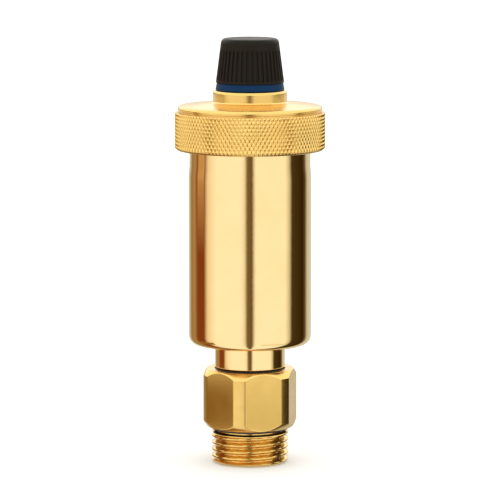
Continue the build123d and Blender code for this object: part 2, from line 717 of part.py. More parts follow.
def lever():
    """Sheet lever with a pivot barrel, a keyhole for the valve pin and a slot for the float link, float down."""
    slope = cos(radians(LEVER_SWING))
    pin_far, link_far = ARM_PIN / slope, ARM_FLOAT / slope
    slot_width = PIN_NECK_D + 2 * PIN_SLOT_GAP
    keyhole_x = pin_far + PIN_COLLAR_D / 2 + 1.6
    keyhole_r = PIN_COLLAR_D / 2 + PIN_SLOT_GAP
    length = link_far + LEVER_END
    plate = Box(
        length, LEVER_WIDTH, LEVER_THICKNESS, align=(Align.MIN, Align.CENTER, Align.CENTER)
    )
    plate = fillet(plate.edges().filter_by(Axis.Z).group_by(Axis.X)[-1], LEVER_WIDTH / 3)
    blank = plate + Rot(90, 0, 0) * Cylinder(BARREL_D / 2, BARREL_LENGTH)
    deep = 4 * LEVER_THICKNESS
    pin_slot = Pos((ARM_PIN + keyhole_x) / 2 - slot_width / 3, 0, 0) * Box(
        keyhole_x - ARM_PIN + slot_width / 1.5 + 0.9, slot_width, deep
    )
    blank -= pin_slot
    blank -= Pos(keyhole_x, 0, 0) * Cylinder(keyhole_r, deep)
    link_slot = SlotCenterToCenter(
        link_far - ARM_FLOAT + LINK_STEM_D, LINK_STEM_D + 2 * PIN_SLOT_GAP
    )
    blank -= Pos((ARM_FLOAT + link_far) / 2, 0, -deep / 2) * extrude(link_slot, deep)
    blank -= Rot(90, 0, 0) * Cylinder(PIVOT_D / 2 + STATIC_GAP, BARREL_LENGTH + 1)
    return Pos(X_PIVOT, 0, Z_PIVOT) * Rot(0, LEVER_SWING, 0) * blank


def valve_pin():
    """Pad holder guided in the nozzle's skirt, with a waist that the lever's keyhole holds."""
    head_r = SKIRT_BORE_D / 2 - SLIDE_GAP
    pad_r = PAD_D / 2 + STATIC_GAP
    pad_low = Z_PAD_TOP - PAD_THICKNESS
    stem_r, collar_r, neck_r = PIN_STEM_D / 2, PIN_COLLAR_D / 2, PIN_NECK_D / 2
    low = Z_PIN_NECK_LOW - PIN_COLLAR_THICKNESS
    return turned(
        [
            (0, low),
            (collar_r, low),
            (collar_r, Z_PIN_NECK_LOW),
            (neck_r, Z_PIN_NECK_LOW),
            (neck_r, Z_PIN_NECK_TOP),
            (collar_r, Z_PIN_NECK_TOP),
            (collar_r, Z_PIN_COLLAR),
            (stem_r, Z_PIN_COLLAR),
            (stem_r, Z_PIN_FLANGE),
            (PIN_FLANGE_D / 2, Z_PIN_FLANGE),
            (PIN_FLANGE_D / 2, Z_PIN_FLANGE + PIN_FLANGE_THICKNESS),
            (stem_r, Z_PIN_FLANGE + PIN_FLANGE_THICKNESS),
            (stem_r, Z_PIN_STEM_TOP),
            (head_r, Z_PIN_STEM_TOP),
            (head_r, Z_HEAD_TOP),
            (pad_r, Z_HEAD_TOP),
            (pad_r, pad_low - STATIC_GAP),
            (0, pad_low - STATIC_GAP),
        ]
    )


def valve_pad():
    return rod(PAD_D, Z_PAD_TOP - PAD_THICKNESS, Z_PAD_TOP)


def pin_spring():
    return coil(
        PIN_SPRING_D,
        PIN_SPRING_WIRE,
        PIN_SPRING_TURNS,
        Z_PIN_FLANGE + PIN_FLANGE_THICKNESS + STATIC_GAP,
        Z_SKIRT_END - STATIC_GAP,
    )


# ---------------------------------------------------------------- float
def float_shell():
    """Hollow cup with a coned nose and short guide ribs."""
    outer, inner = FLOAT_D / 2, FLOAT_D / 2 - FLOAT_WALL
    nose_r = FLOAT_NOSE_D / 2
    shell = turned(
        [
            (0, Z_FLOAT_LOW),
            (nose_r, Z_FLOAT_LOW),
            (outer, Z_FLOAT_LOW + FLOAT_NOSE),
            (outer, Z_LID_LOW - STATIC_GAP),
            (inner, Z_LID_LOW - STATIC_GAP),
            (inner, Z_FLOAT_LOW + FLOAT_NOSE + FLOAT_WALL / 2),
            (nose_r - FLOAT_WALL / 2, Z_FLOAT_LOW + FLOAT_WALL),
            (0, Z_FLOAT_LOW + FLOAT_WALL),
        ]
    )
    rib = Pos(outer, 0, Z_FLOAT_LOW + FLOAT_NOSE) * Box(
        2 * FLOAT_RIB_HEIGHT,
        FLOAT_RIB_WIDTH,
        Z_LID_LOW - STATIC_GAP - Z_FLOAT_LOW - FLOAT_NOSE,
        align=(Align.CENTER, Align.CENTER, Align.MIN),
    )
    for n in range(FLOAT_RIBS):
        shell += Rot(0, 0, 45 + n * 360 / FLOAT_RIBS) * rib
    return shell


def float_lid():
    """Lid welded into the shell, with a boss for the link."""
    outer, spigot = FLOAT_D / 2, FLOAT_D / 2 - FLOAT_WALL - STATIC_GAP
    low = Z_LID_LOW - LID_SPIGOT
    lid = turned(
        [
            (spigot - FLOAT_WALL, low),
            (spigot, low),
            (spigot, Z_LID_LOW),
            (outer, Z_LID_LOW),
            (outer, Z_LID_TOP - 0.5),
            (outer - 0.5, Z_LID_TOP),
            (0, Z_LID_TOP),
            (0, Z_LID_LOW),
            (spigot - FLOAT_WALL, Z_LID_LOW),
        ]
    )
    lid += Pos(X_LINK, 0, 0) * rod(BOSS_D, Z_LID_TOP, Z_LID_TOP + BOSS_HEIGHT)
    hole_d = LINK_ROOT_D + 2 * STATIC_GAP
    hole_low = Z_LID_TOP + BOSS_HEIGHT - LINK_ROOT_DEPTH - STATIC_GAP
    return lid - Pos(X_LINK, 0, 0) * rod(hole_d, hole_low, Z_LID_TOP + BOSS_HEIGHT + 1)


def float_link():
    """Headed pin from the float's boss through the lever's end slot."""
    low = Z_LID_TOP + BOSS_HEIGHT - LINK_ROOT_DEPTH
    collar_top = Z_LINK - LINK_GAP / 2
    head_low = Z_LINK + LINK_GAP / 2
    root_r, collar_r, stem_r = LINK_ROOT_D / 2, LINK_COLLAR_D / 2, LINK_STEM_D / 2
    pin = turned(
        [
            (0, low),
            (root_r, low),
            (root_r, collar_top - LINK_COLLAR_THICKNESS),
            (collar_r, collar_top - LINK_COLLAR_THICKNESS),
            (collar_r, collar_top),
            (stem_r, collar_top),
            (stem_r, head_low),
            (collar_r, head_low),
            (collar_r, head_low + LINK_COLLAR_THICKNESS),
            (0, head_low + LINK_COLLAR_THICKNESS),
        ]
    )
    return Pos(X_LINK, 0, 0) * pin


# ---------------------------------------------------------------- dust cap
def cap_seal_ring():
    """Ring under the cap, with a spigot that clips into the cap's underside."""
    top = Z_CAP_RING + CAP_RING_HEIGHT
    spigot_r = CAP_RING_SPIGOT_D / 2
    bore_r = STEM_THREAD_D / 2 + 2 * CAP_STEM_GAP
    return turned(
        [
            (bore_r, Z_CAP_RING),
            (CAP_RING_D / 2 - 0.15, Z_CAP_RING),
            (CAP_RING_D / 2, Z_CAP_RING + 0.25),
            (CAP_RING_TOP_D / 2, top),
            (spigot_r, top),
            (spigot_r, top + CAP_RING_SPIGOT),
            (spigot_r - CAP_RING_SPIGOT_WALL, top + CAP_RING_SPIGOT),
            (spigot_r - CAP_RING_SPIGOT_WALL, top),
            (bore_r, top),
        ]
    )


def rib_section(crest_r, z):
    """Outline of the ribbed cap at one level: flat crests with grooves between them."""
    points = []
    pitch = 2 * pi / CAP_RIBS
    for n in range(CAP_RIBS):
        for share, radius in (
            (-0.26, crest_r),
            (0.26, crest_r),
            (0.36, crest_r - CAP_RIB_DEPTH),
            (0.64, crest_r - CAP_RIB_DEPTH),
        ):
            angle = (n + share) * pitch
            points.append((radius * cos(angle), radius * sin(angle)))
    return Pos(0, 0, z) * make_face(Polyline(*points, close=True))


def dust_cap():
    """Tapered cap with upright ribs, a plain crown and a threaded bore for the nozzle's stem."""
    low_r, top_r = CAP_D / 2, CAP_TOP_D / 2
    ribs_top = Z_CAP_TOP - CAP_PLAIN_TOP
    ribbed = loft([rib_section(low_r, Z_CAP), rib_section(crown_r(ribs_top), ribs_top)])
    core = turned(
        [
            (0, Z_CAP),
            (low_r, Z_CAP),
            (crown_r(Z_CAP + CAP_FLARE), Z_CAP + CAP_FLARE),
            (crown_r(Z_CAP + CAP_FLARE) - CAP_RIB_DEPTH, Z_CAP + CAP_FLARE),
            (crown_r(ribs_top) - CAP_RIB_DEPTH, ribs_top),
            (crown_r(ribs_top), ribs_top),
            (top_r, Z_CAP_TOP - CAP_EDGE),
            (top_r - CAP_EDGE / 3, Z_CAP_TOP - CAP_EDGE / 3),
            (top_r - CAP_EDGE, Z_CAP_TOP),
            (0, Z_CAP_TOP),
        ]
    )
    bore_r = STEM_THREAD_D / 2 + CAP_STEM_GAP
    roof = Z_STEM_TOP + CAP_PAD_GAP + CAP_PAD_THICKNESS + STATIC_GAP
    bore = rod(2 * bore_r, Z_CAP - 1, roof)
    groove = tube(
        CAP_RING_SPIGOT_D + 2 * SEAL_GAP,
        CAP_RING_SPIGOT_D - 2 * CAP_RING_SPIGOT_WALL - 2 * SEAL_GAP,
        Z_CAP - 1,
        Z_CAP + CAP_RING_SPIGOT + SEAL_GAP,
    )
    return ((ribbed + core) - bore) - groove


def crown_r(z):
    """Crest radius of the cap at a level, on the straight taper from foot to shoulder."""
    share = (z - Z_CAP) / (CAP_HEIGHT - CAP_EDGE)
    return CAP_D / 2 + share * (CAP_TOP_D - CAP_D) / 2


def cap_pad():
    low = Z_STEM_TOP + CAP_PAD_GAP
    return rod(STEM_THREAD_D - 0.4, low, low + CAP_PAD_THICKNESS)


# ---------------------------------------------------------------- write one STEP per piece
PIECES = [
    isolating_valve_body,
    port_o_ring,
    neck_o_ring,
    snap_ring,
    plunger,
    plunger_disc,
    plunger_gasket,
    plunger_spring,
    vent_body,
    cover_o_ring,
    cover,
    nozzle_gasket,
    vent_nozzle,
    lever_bracket,
    pivot_pin,
    pivot_clips,
    lever,
    valve_pin,
    valve_pad,
    pin_spring,
    float_shell,
    float_lid,
    float_link,
    cap_seal_ring,
    dust_cap,
    cap_pad,
]

os.makedirs("parts", exist_ok=True)
for piece in PIECES:
    made = piece()
    solids = made if isinstance(made, list) else made.solids()
    export_step(Compound(children=list(solids)), f"parts/{piece.__name__}.step")
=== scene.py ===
"""Automatic air vent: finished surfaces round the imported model, with a plain pale studio.

The bottle, cover, cap, cap ring and hexagon are rebuilt as smooth turned shells, and the valve pin's spring as
closed wire. The port has a real thread, the cover its knurling and the cap its ribs. The bottle's two threads are
missing. The other pieces keep their CAD shape and get their own finishes.
"""
import json

import bmesh
import bpy
import numpy as np
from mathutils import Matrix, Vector


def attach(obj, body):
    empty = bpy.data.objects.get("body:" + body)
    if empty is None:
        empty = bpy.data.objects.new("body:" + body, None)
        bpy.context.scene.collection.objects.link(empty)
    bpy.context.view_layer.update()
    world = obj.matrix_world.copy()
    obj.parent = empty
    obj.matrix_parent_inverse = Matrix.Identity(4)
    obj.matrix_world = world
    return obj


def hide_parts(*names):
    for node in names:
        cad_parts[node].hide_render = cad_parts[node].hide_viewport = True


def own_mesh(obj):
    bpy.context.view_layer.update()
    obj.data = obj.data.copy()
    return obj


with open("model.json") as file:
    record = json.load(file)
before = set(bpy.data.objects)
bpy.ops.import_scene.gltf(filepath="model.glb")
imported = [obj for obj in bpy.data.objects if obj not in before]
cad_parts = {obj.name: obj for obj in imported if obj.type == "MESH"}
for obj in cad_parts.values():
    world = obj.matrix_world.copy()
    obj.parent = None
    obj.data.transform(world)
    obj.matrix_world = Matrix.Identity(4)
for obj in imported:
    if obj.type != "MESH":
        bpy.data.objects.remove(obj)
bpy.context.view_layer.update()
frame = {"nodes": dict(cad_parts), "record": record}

MM = 0.001
TAU = 2 * np.pi

# ------------------------------------------------------------------ sizes in millimetres, as in the CAD
PORT_END_Z = -10.0
HEX_TOP_Z = 16.0
CAP_LOW_Z, CAP_HEIGHT = 94.45, 12.0
SPRING_LOW_Z, SPRING_HIGH_Z = 70.05, 75.64
THREAD_ROW = 0.1  # spacing of the rows that a thread is cut into


# ------------------------------------------------------------------ surfaces
def rounded(points, cut, steps=5):
    """Closed (radius, height) outline with softened corners.

    Each corner P becomes the parabola (1-t)^2 A + 2t(1-t) P + t^2 B, where A and B lie the cut length before and
    after it on its two sides. One more point beyond each end keeps the neighbouring flats truly flat when shaded.
    """
    longest_share, beyond = 0.4, 1.15  # a cut's most, of its side, and where the extra points lie, of the cut
    p = np.asarray(points, float)
    before, after = np.roll(p, 1, 0) - p, np.roll(p, -1, 0) - p
    len_before = np.linalg.norm(before, axis=1)
    len_after = np.linalg.norm(after, axis=1)
    longest = longest_share * np.minimum(len_before, len_after)
    c = np.minimum(np.broadcast_to(cut, len(p)), longest)[:, None]
    before, after = before / len_before[:, None], after / len_after[:, None]
    a, b = p + c * before, p + c * after
    t = np.linspace(0, 1, steps)[None, :, None]
    curve = (1 - t) ** 2 * a[:, None] + 2 * t * (1 - t) * p[:, None] + t**2 * b[:, None]
    first = (p + beyond * c * before)[:, None]
    last = (p + beyond * c * after)[:, None]
    return np.concatenate([first, curve, last], axis=1).reshape(-1, 2)


def subdivided(outline, spacing, low, high, least_radius):
    """Outline with its upright sides between two heights cut into rows of about one spacing.

    Row k of a side with n rows lies k/n of the way from that side's start to its end. A side that reaches past
    either height is left whole.
    """
    start, end = outline, np.roll(outline, -1, 0)
    inside = (
        (np.minimum(start[:, 1], end[:, 1]) >= low - 1e-6)
        & (np.maximum(start[:, 1], end[:, 1]) <= high + 1e-6)
        & (np.minimum(start[:, 0], end[:, 0]) >= least_radius)
    )
    length = np.abs(end[:, 1] - start[:, 1])
    rows = np.where(inside, np.maximum(1, np.ceil(length / spacing)), 1).astype(int)
    side = np.repeat(np.arange(len(outline)), rows)
    step = np.arange(len(side)) - np.repeat(np.cumsum(rows) - rows, rows)
    share = (step / rows[side])[:, None]
    return start[side] * (1 - share) + end[side] * share


def turned(outline, angle):
    """Radius and height arrays of a turned shell: every outline point repeated at every angle."""
    ones = np.ones((1, len(angle)))
    return outline[:, :1] * ones, outline[:, 1:] * ones


def screw_cut(radius, height, angle, crest, depth, pitch, low, high):
    """Cuts a right-hand thread into a plain shank.

    The phase is height/pitch - angle/turn, and the radius drops by depth where the phase is near one half, with
    straight flanks, a flat root and a flat crest. The cut fades in and out over half a pitch at the ends.
    """
    phase = (height / pitch - angle[None, :] / TAU) % 1.0
    groove_half, flank_wide, fade = 0.39, 0.33, 0.5 * pitch  # the first two in pitches
    flank = np.clip((groove_half - np.abs(phase - 0.5)) / flank_wide, 0, 1)
    ends = np.clip((height - low) / fade, 0, 1) * np.clip((high - height) / fade, 0, 1)
    on_shank = (np.abs(radius - crest) < 1e-6) & (height > low) & (height < high)
    return np.where(on_shank, crest - depth * flank * ends, radius)


def shell(name, body, node, radius, height, angle, sharp_deg=34):
    """Closed turned mesh from radius and height grids.

    A point is (r cos a, r sin a, h), and both the rows and the columns are joined up.
    """
    xyz = np.stack([radius * np.cos(angle), radius * np.sin(angle), height], axis=-1)
    return spread_over(name, body, node, xyz, sharp_deg)


def spread_over(name, body, node, xyz, sharp_deg, ends_joined=True):
    """Piece over a grid of points in millimetres, riding a body in place of a node.

    Row i, column j joins its neighbours. The columns close up, and so do the rows if the ends are joined.
    """
    rows, columns = xyz.shape[:2]
    last = rows if ends_joined else rows - 1
    row, column = np.meshgrid(np.arange(last), np.arange(columns), indexing="ij")
    up, on = (row + 1) % rows, (column + 1) % columns
    faces = np.stack(
        [row * columns + column, row * columns + on, up * columns + on, up * columns + column], axis=-1
    ).reshape(-1, 4)
    mesh = bpy.data.meshes.new(name)
    mesh.from_pydata((xyz * MM).reshape(-1, 3).tolist(), [], faces.tolist())
    work = bmesh.new()
    work.from_mesh(mesh)
    bmesh.ops.remove_doubles(work, verts=work.verts, dist=2e-7)
    bmesh.ops.dissolve_degenerate(work, edges=work.edges, dist=1e-7)
    bmesh.ops.recalc_face_normals(work, faces=work.faces)
    work.to_mesh(mesh)
    work.free()
    mesh.polygons.foreach_set("use_smooth", np.ones(len(mesh.polygons), bool))
    mesh.set_sharp_from_angle(angle=np.radians(sharp_deg))
    piece = bpy.data.objects.new(name, mesh)
    bpy.context.collection.objects.link(piece)
    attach(piece, body)
    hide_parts(node)
    return piece


def even_angles(columns):
    """Angles of evenly spaced columns round a full turn."""
    return np.arange(columns) * TAU / columns


# ------------------------------------------------------------------ pieces
def make_bottle():
    """Bottle with its neck, nipple and top, as one closed turned shell.

    Its two threads are missing. The upright sides of the nipple and of the top reach past the heights given to
    subdivided, so they get no rows, and screw_cut finds nothing to cut but one ring by under 0.02.
    """
    nipple_r, nipple_depth, nipple_pitch = 8.33, 0.8, 1.337
    top_r, top_depth, top_pitch = 16.5, 0.75, 1.5
    way_r, neck_r, wall_r, bore_r = 5.0, 9.6, 16.75, 14.65
    nipple_z, foot_z, floor_z, end_z = 8.0, 22.7, 25.5, 85.7
    outline = rounded(
        [
            (way_r, nipple_z), (7.83, nipple_z), (nipple_r, 8.5), (nipple_r, 16.3), (9.3, 16.3), (neck_r, 16.6),
            (neck_r, foot_z), (wall_r, foot_z), (wall_r, 68.7), (top_r, 71.7), (top_r, 85.3), (16.1, end_z),
            (14.95, end_z), (bore_r, 85.2), (bore_r, 27.0), (13.15, floor_z), (way_r, floor_z),
        ],
        [0.1, 0.1, 0.1, 0.05, 0.05, 0.1, 0.5, 3.1, 0.8, 0.8, 0.1, 0.1, 0.1, 0.1, 0.4, 0.4, 0.2],
        steps=9,
    )
    outline = subdivided(outline, THREAD_ROW, 8.6, 15.0, 8.3)
    outline = subdivided(outline, THREAD_ROW, 77.6, 85.2, 16.4)
    angle = even_angles(256)
    radius, height = turned(outline, angle)
    radius = screw_cut(radius, height, angle, nipple_r, nipple_depth, nipple_pitch, 8.6, 14.7)
    radius = screw_cut(radius, height, angle, top_r, top_depth, top_pitch, 77.7, 85.2)
    return shell("bottle", "bottle", "vent_body", radius, height, angle)


def knurled(radius, height, angle, crest, depth, count, tall, low, high):
    """Diamond knurl: two families of slanting V grooves, u + v and u - v whole, cut into a plain band.

    u counts diamonds round the band and v counts them up it; the cut is the deeper of the two grooves.
    """
    u, v = angle[None, :] * count / TAU, height / tall
    across_one, across_two = (u + v) % 1.0, (u - v) % 1.0
    flat = 0.12  # of half a diamond, uncut on its top
    edge_depth = 0.7  # the band's chamfers are cut too, down to here
    groove = np.maximum(np.abs(2 * across_one - 1), np.abs(2 * across_two - 1))
    cut = crest - depth * np.clip((groove - flat) / (1 - flat), 0, 1)
    in_band = (height >= low) & (height <= high) & (radius > crest - edge_depth)
    return np.where(in_band, np.minimum(radius, cut), radius)


def make_cover():
    """Cover with its knurled band, rim, coned plate, collar and inner spigot."""
    diamonds, diamond_height, diamond_depth, columns_each = 112, 2.0, 0.34, 6
    band_r, rim_r, collar_r, way_r, spigot_r, groove_r = 20.5, 19.7, 10.1, 6.0, 14.5, 13.25
    foot_z, band_z, collar_z, plate_z, spigot_z = 76.1, 86.4, 92.3, 86.0, 81.7
    outline = rounded(
        [
            (17.0, foot_z), (19.8, foot_z), (band_r, 76.8), (band_r, 86.1), (20.2, band_z), (19.3, band_z),
            (19.3, 86.8), (rim_r, 86.9), (rim_r, 87.6), (19.2, 88.1), (10.5, 89.05), (collar_r, 89.35),
            (collar_r, 91.8), (9.6, collar_z), (way_r, collar_z), (way_r, plate_z),
            (11.9, plate_z), (11.9, spigot_z), (14.2, spigot_z), (spigot_r, 82.0), (spigot_r, 83.15),
            (groove_r, 83.15), (groove_r, 84.75), (spigot_r, 84.75), (spigot_r, plate_z), (16.6, plate_z),
            (16.6, 76.5),
        ],
        [0, 0.12, 0.2, 0.1, 0.1, 0.05, 0.05, 0.06, 0.2, 0.25, 0.5, 0.3, 0.2, 0.15] + 13 * [0],
    )
    outline = subdivided(outline, 0.26, 76.2, 86.35, 19.8)
    angle = even_angles(diamonds * columns_each)
    radius, height = turned(outline, angle)
    radius = knurled(radius, height, angle, band_r, diamond_depth, diamonds, diamond_height, 76.15, 86.38)
    return shell("cover_shell", "head", "cover", radius, height, angle, sharp_deg=24)


def make_cap_ring():
    """Blue ring with the spigot that clips into the cap."""
    bore_r, spigot_out_r, spigot_in_r = 5.2, 7.8, 7.0
    low_z, top_z, spigot_z = 92.4, 94.35, 95.65
    outline = rounded(
        [
            (bore_r, low_z), (9.25, low_z), (9.4, 92.65), (9.05, top_z), (spigot_out_r, top_z),
            (spigot_out_r, spigot_z), (spigot_in_r, spigot_z), (spigot_in_r, top_z), (bore_r, top_z),
        ],
        0.1,
    )
    angle = even_angles(192)
    radius, height = turned(outline, angle)
    return shell("cap_ring_shell", "cap_ring", "cap_seal_ring", radius, height, angle)


def make_cap():
    """Dust cap: a tapered shell whose radius dips between upright ribs, under a plain crown.

    With x the share of a rib's pitch from its middle, less the rib's half and over the slope, kept in 0 to 1, the
    dip is the depth times 3x^2 - 2x^3. It fades out at the ribs' two ends.
    """
    top, low_r, shoulder_r, shoulder = CAP_LOW_Z + CAP_HEIGHT, 9.3, 7.9, 1.0
    ribs_low, ribs_high, ribs, rib_depth, columns_each = CAP_LOW_Z + 0.5, top - 3.0, 40, 0.42, 12
    bore_r, bore_top, slot_in_r, slot_out_r, slot_top = 5.05, 103.85, 6.9, 7.9, CAP_LOW_Z + 1.4
    rib_half, slope, low_fade, high_fade = 0.22, 0.14, 0.25, 0.5

    def taper(h):
        return low_r + (h - CAP_LOW_Z) / (CAP_HEIGHT - shoulder) * (shoulder_r - low_r)

    outline = rounded(
        [
            (bore_r, CAP_LOW_Z), (slot_in_r, CAP_LOW_Z), (slot_in_r, slot_top), (slot_out_r, slot_top),
            (slot_out_r, CAP_LOW_Z), (low_r, CAP_LOW_Z), (taper(ribs_low), ribs_low),
            (taper(top - shoulder), top - shoulder), (shoulder_r - 0.33, top - 0.33), (shoulder_r - 1.0, top),
            (shoulder_r - 2.0, top - 0.12), (0, top - 0.12), (0, bore_top), (bore_r, bore_top),
        ],
        [0.05, 0.05, 0.05, 0.05, 0.05, 0.12, 0.05, 0.3, 0.3, 0.3, 0.4, 0, 0, 0.1],
    )
    outline = subdivided(outline, 0.3, ribs_low - 0.1, top - 1.2, 7.8)
    angle = even_angles(ribs * columns_each)
    radius, height = turned(outline, angle)
    phase = np.abs((angle * ribs / TAU + 0.5) % 1.0 - 0.5)
    valley = np.clip((phase - rib_half) / slope, 0, 1)
    valley = valley * valley * (3 - 2 * valley)
    ends = np.clip((height - ribs_low) / low_fade, 0, 1) * np.clip((ribs_high - height) / high_fade, 0, 1)
    outside = radius > slot_out_r + 0.05
    radius = np.where(outside, radius - rib_depth * valley[None, :] * ends, radius)
    return shell("cap_shell", "cap", "dust_cap", radius, height, angle, sharp_deg=40)


def make_valve_body():
    """Hexagon and port: turned rows below and inside, and hexagon rows whose radius follows six flats.

    A flat's radius at an angle is half the width across flats over the cosine of the angle from its middle, and
    never more than the turned corners. Each chamfer is a cone, so it meets a flat at the height where the cone
    has grown to the flat's radius.
    """
    half_flats, corner_r, foot_r, cone = 12.0, 13.0, 11.85, 1.7
    corner = np.radians(17.8)
    spread = np.radians([-4.6, -4.3, -4.0, -3.7, -3.4, 3.4, 3.7, 4.0, 4.3, 4.6])
    extra = (corner + np.arange(6)[:, None] * TAU / 6 + spread).ravel()
    angle = np.unique(np.round(np.concatenate([even_angles(360), extra % TAU]), 6))
    off = (angle - corner) % (TAU / 6) - TAU / 12
    flat_r = half_flats / np.cos(off)
    soft = 0.02
    hex_r = -soft * np.logaddexp(-flat_r / soft, -corner_r / soft)

    def rise(r):
        return (r - foot_r) * cone / (corner_r - foot_r)

    ones = np.ones_like(angle)
    edge = 0.08
    low = [
        (foot_r * ones - 0.3, 0 * ones),
        (foot_r * ones - edge, 0 * ones),
        (foot_r * ones, 0.04 * ones),
        (hex_r - edge, rise(hex_r - edge)),
        (hex_r - 0.25 * edge, rise(hex_r)),
        (hex_r, rise(hex_r) + edge),
        (hex_r, rise(hex_r) + 3 * edge),
    ]
    hex_radius = np.array([r for r, _ in low] + [r for r, _ in low[::-1]])
    hex_height = np.array([h for _, h in low] + [HEX_TOP_Z - h for _, h in low[::-1]])
    root, crest, depth, pitch = 9.3775, 10.4775, 1.1, 1.814
    ring_r, ring_z, port_r, clip_r, clip_low, clip_high = 11.127, 0.9, 7.0, 7.4, -4.6, -3.65
    seal_r, seal_z, nipple_r, ledge_r, ledge_low, ledge_high = 9.68, 14.8, 8.43, 4.4, 4.0, 6.0
    below = np.array([(ring_r, ring_z), (ring_r, 0.06), (11.2, 0.0)])
    port = np.array(
        [(6.999, clip_low), (port_r, -9.45), (7.1, -9.55), (7.55, -9.97), (7.65, PORT_END_Z), (9.6, PORT_END_Z),
         (9.7, -9.97), (crest - 0.03, -9.25), (crest, -9.15), (crest, -1.62), (crest - 0.05, -1.58),
         (root, -1.2), (root, -1.15), (root, ring_z)]
    )
    port = subdivided(port, THREAD_ROW, -9.2, -1.5, 10.4)
    inner = np.array(
        [(9.75, HEX_TOP_Z), (seal_r, 15.93), (seal_r, seal_z), (nipple_r, seal_z), (nipple_r, ledge_high),
         (ledge_r, ledge_high), (ledge_r, ledge_low), (port_r, ledge_low), (port_r, clip_high),
         (clip_r, clip_high), (clip_r, clip_low), (port_r, clip_low)]
    )
    low_r, low_h = turned(np.concatenate([port, below]), angle)
    low_r = screw_cut(low_r, low_h, angle, crest, depth, pitch, -9.9, -1.3)
    in_r, in_h = turned(inner, angle)
    radius = np.concatenate([low_r, hex_radius, in_r])
    height = np.concatenate([low_h, hex_height, in_h])
    return shell("valve_hexagon", "base", "isolating_valve_body", radius, height, angle, sharp_deg=30)


def make_pin_spring():
    """Wire spring with closed end turns, between the guide's end above and the valve pin's flange below.

    The centre line is (R cos a, R sin a, h(a)). Its height h grows by one wire a turn over the end turns and
    evenly between them. Each section is a circle of the wire's radius in the plane of the axis, and shrinks to a
    point at both ends. The spring hangs from the guide.
    """
    low, high, mean_r, wire_r, turns, steps_a_turn = SPRING_LOW_Z, SPRING_HIGH_Z, 3.65, 0.15, 5.5, 48
    turn = np.linspace(0, turns, int(turns * steps_a_turn) + 1)
    shut = [0, 1.0, turns - 1.0, turns]
    closed_up = 3.1 * wire_r  # an end turn's rise, from the spring's end, with a little air between the wires
    levels = [low + wire_r, low + closed_up, high - closed_up, high - wire_r]
    height = np.interp(turn, shut, levels)
    turn, height = np.pad(turn, 1, "edge"), np.pad(height, 1, "edge")
    thick = np.full(len(turn), wire_r)
    thick[[0, -1]] = 0
    about = even_angles(12)
    radius = mean_r + thick[:, None] * np.cos(about)
    xyz = np.stack(
        [
            radius * np.cos(turn * TAU)[:, None],
            radius * np.sin(turn * TAU)[:, None],
            height[:, None] + thick[:, None] * np.sin(about),
        ],
        axis=-1,
    )
    spring = spread_over("valve_spring_wire", "head", "pin_spring", xyz, sharp_deg=60, ends_joined=False)
    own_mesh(spring)
    return spring


# ------------------------------------------------------------------ shader groups
def group(name, inputs, outputs):
    """A shader node group with named float inputs and (name, socket type) outputs."""
    tree = bpy.data.node_groups.new(name, "ShaderNodeTree")
    for label, value in inputs.items():
        socket = tree.interface.new_socket(label, in_out="INPUT", socket_type="NodeSocketFloat")
        socket.default_value = value
    for label, kind in outputs.items():
        tree.interface.new_socket(label, in_out="OUTPUT", socket_type=kind)
    start, end = tree.nodes.new("NodeGroupInput"), tree.nodes.new("NodeGroupOutput")
    return tree, start, end


def add(tree, kind, links=None, **settings):
    """New node with its properties set and its inputs filled from sockets or plain values."""
    node = tree.nodes.new(kind)
    for key, value in settings.items():
        setattr(node, key, value)
    for key, value in (links or {}).items():
        if isinstance(value, bpy.types.NodeSocket):
            tree.links.new(value, node.inputs[key])
        else:
            node.inputs[key].default_value = value
    return node


def make_mottle():
    """Cloudy patches: noise on object coordinates, stretched to a soft mask, with a finer grain as height."""
    tree, start, end = group(
        "mottle", {"Patch Size mm": 6.0, "Grain Size mm": 0.3, "Contrast": 1.6},
        {"Mask": "NodeSocketFloat", "Grain": "NodeSocketFloat"},
    )
    place = add(tree, "ShaderNodeTexCoord").outputs["Object"]
    patch = add(tree, "ShaderNodeMath", {0: 1000.0, 1: start.outputs["Patch Size mm"]}, operation="DIVIDE")
    cloud = add(
        tree, "ShaderNodeTexNoise",
        {"Vector": place, "Scale": patch.outputs[0], "Detail": 4.0, "Roughness": 0.6},
    )
    centred = add(tree, "ShaderNodeMath", {0: cloud.outputs["Fac"], 1: 0.5}, operation="SUBTRACT")
    spread = add(
        tree, "ShaderNodeMath", {0: centred.outputs[0], 1: start.outputs["Contrast"], 2: 0.5},
        operation="MULTIPLY_ADD", use_clamp=True,
    )
    size = add(tree, "ShaderNodeMath", {0: 1000.0, 1: start.outputs["Grain Size mm"]}, operation="DIVIDE")
    grain = add(
        tree, "ShaderNodeTexNoise",
        {"Vector": place, "Scale": size.outputs[0], "Detail": 3.0, "Roughness": 0.55},
    )
    tree.links.new(spread.outputs[0], end.inputs["Mask"])
    tree.links.new(grain.outputs["Fac"], end.inputs["Grain"])
    return tree


